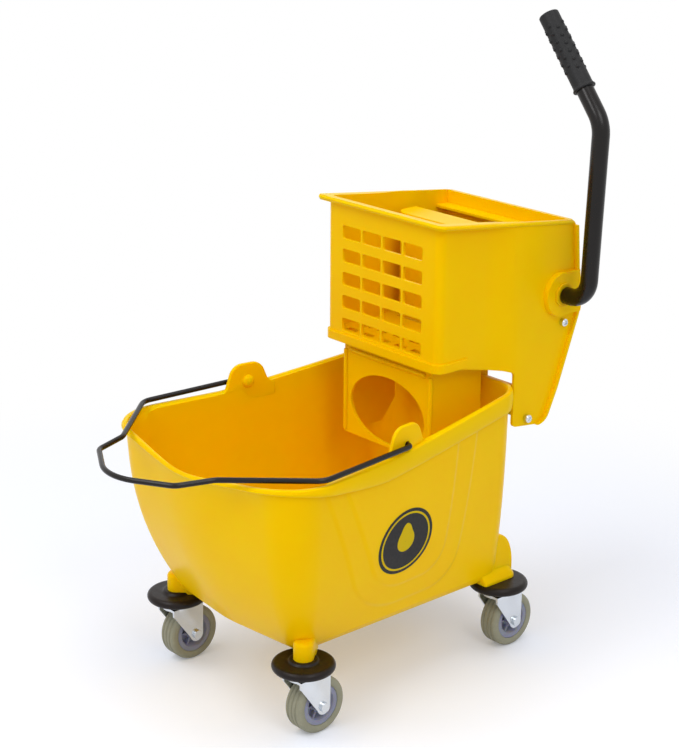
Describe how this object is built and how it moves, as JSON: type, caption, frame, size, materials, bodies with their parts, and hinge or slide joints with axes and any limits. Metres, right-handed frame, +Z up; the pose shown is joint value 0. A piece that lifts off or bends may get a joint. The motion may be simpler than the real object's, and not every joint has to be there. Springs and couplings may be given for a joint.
{
  "type": "mop bucket with side press wringer",
  "caption": "Wheeled mop bucket with a pouring lip, wire bail and swivel casters, and a lift-off side press wringer whose lever drives a sliding press plate.",
  "frame": {"origin": "on the floor under the middle of the product's outer box", "axes": "+Z up, +Y from the pouring lip towards the wringer, +X to the right seen from the pouring lip, where the lever stands"},
  "size_m": [0.3762, 0.6822, 0.8636],
  "materials": {
    "yellow_plastic": "satin moulded",
    "bail_wire": "black coated wire",
    "black_tube": "gloss black coating",
    "grip_rubber": "matt with nubs",
    "cap_plastic": "matt",
    "zinc_steel": "bright zinc plate",
    "spring_steel": "drawn wire",
    "bumper_rubber": "satin",
    "hub_plastic": "satin moulded",
    "tyre_rubber": "matt",
    "bushing_plastic": "satin moulded"
  },
  "bodies": {
    "bucket": {"bucket": "yellow_plastic", "bumper_front_left": "bumper_rubber", "bumper_front_right": "bumper_rubber", "bumper_rear_left": "bumper_rubber", "bumper_rear_right": "bumper_rubber", "stem_front_left": "zinc_steel", "stem_front_right": "zinc_steel", "stem_rear_left": "zinc_steel", "stem_rear_right": "zinc_steel"},
    "bail": {"bail": "bail_wire"},
    "wringer": {"wringer_body": "yellow_plastic", "tie_rod": "zinc_steel", "lever_bushing_left": "bushing_plastic", "lever_bushing_right": "bushing_plastic", "cheek_screw_left": "zinc_steel", "cheek_screw_right": "zinc_steel", "return_spring_left": "spring_steel", "return_spring_right": "spring_steel"},
    "lever": {"lever_tube": "black_tube", "lever_grip": "grip_rubber", "shaft_cap": "cap_plastic", "crank_arm_left": "zinc_steel", "crank_arm_right": "zinc_steel", "drive_pin_left": "zinc_steel", "drive_pin_right": "zinc_steel"},
    "press": {"press_plate": "yellow_plastic"},
    "caster_front_left": {"fork_front_left": "zinc_steel", "axle_front_left": "zinc_steel"},
    "wheel_front_left": {"hub_front_left": "hub_plastic", "tyre_front_left": "tyre_rubber"},
    "caster_front_right": {"fork_front_right": "zinc_steel", "axle_front_right": "zinc_steel"},
    "wheel_front_right": {"hub_front_right": "hub_plastic", "tyre_front_right": "tyre_rubber"},
    "caster_rear_left": {"fork_rear_left": "zinc_steel", "axle_rear_left": "zinc_steel"},
    "wheel_rear_left": {"hub_rear_left": "hub_plastic", "tyre_rear_left": "tyre_rubber"},
    "caster_rear_right": {"fork_rear_right": "zinc_steel", "axle_rear_right": "zinc_steel"},
    "wheel_rear_right": {"hub_rear_right": "hub_plastic", "tyre_rear_right": "tyre_rubber"}
  },
  "joints": [
    {"name": "bail_hinge", "type": "hinge", "parent": "bucket", "child": "bail", "pos_m": [0, -0.00922, 0.363], "axis": [-1, 0, 0], "range_deg": [0, 100]},
    {"name": "swivel_front_left", "type": "hinge", "parent": "bucket", "child": "caster_front_left", "pos_m": [-0.133, -0.15122, 0.085], "axis": [0, 0, 1], "continuous": true},
    {"name": "roll_front_left", "type": "hinge", "parent": "caster_front_left", "child": "wheel_front_left", "pos_m": [-0.133, -0.13322, 0.0381], "axis": [1, 0, 0], "continuous": true},
    {"name": "swivel_front_right", "type": "hinge", "parent": "bucket", "child": "caster_front_right", "pos_m": [0.133, -0.15122, 0.085], "axis": [0, 0, 1], "continuous": true},
    {"name": "roll_front_right", "type": "hinge", "parent": "caster_front_right", "child": "wheel_front_right", "pos_m": [0.133, -0.13322, 0.0381], "axis": [1, 0, 0], "continuous": true},
    {"name": "swivel_rear_left", "type": "hinge", "parent": "bucket", "child": "caster_rear_left", "pos_m": [-0.118, 0.20928, 0.085], "axis": [0, 0, 1], "continuous": true},
    {"name": "roll_rear_left", "type": "hinge", "parent": "caster_rear_left", "child": "wheel_rear_left", "pos_m": [-0.118, 0.22728, 0.0381], "axis": [1, 0, 0], "continuous": true},
    {"name": "swivel_rear_right", "type": "hinge", "parent": "bucket", "child": "caster_rear_right", "pos_m": [0.118, 0.20928, 0.085], "axis": [0, 0, 1], "continuous": true},
    {"name": "roll_rear_right", "type": "hinge", "parent": "caster_rear_right", "child": "wheel_rear_right", "pos_m": [0.118, 0.22728, 0.0381], "axis": [1, 0, 0], "continuous": true},
    {"name": "wringer_lift", "type": "slide", "parent": "bucket", "child": "wringer", "axis": [0, 0, 1], "range_m": [0, 0.15]},
    {"name": "lever_hinge", "type": "hinge", "parent": "wringer", "child": "lever", "pos_m": [0, 0.30378, 0.491], "axis": [-1, 0, 0], "range_deg": [0, 80], "deforming": ["return_spring_left", "return_spring_right"]},
    {"name": "press_slide", "type": "slide", "parent": "wringer", "child": "press", "axis": [0, -1, 0], "range_m": [0, 0.08286]}
  ],
  "couplings": [
    {"joint": "press_slide", "follows": "lever_hinge", "m_per_rad": 0.059342}
  ]
}
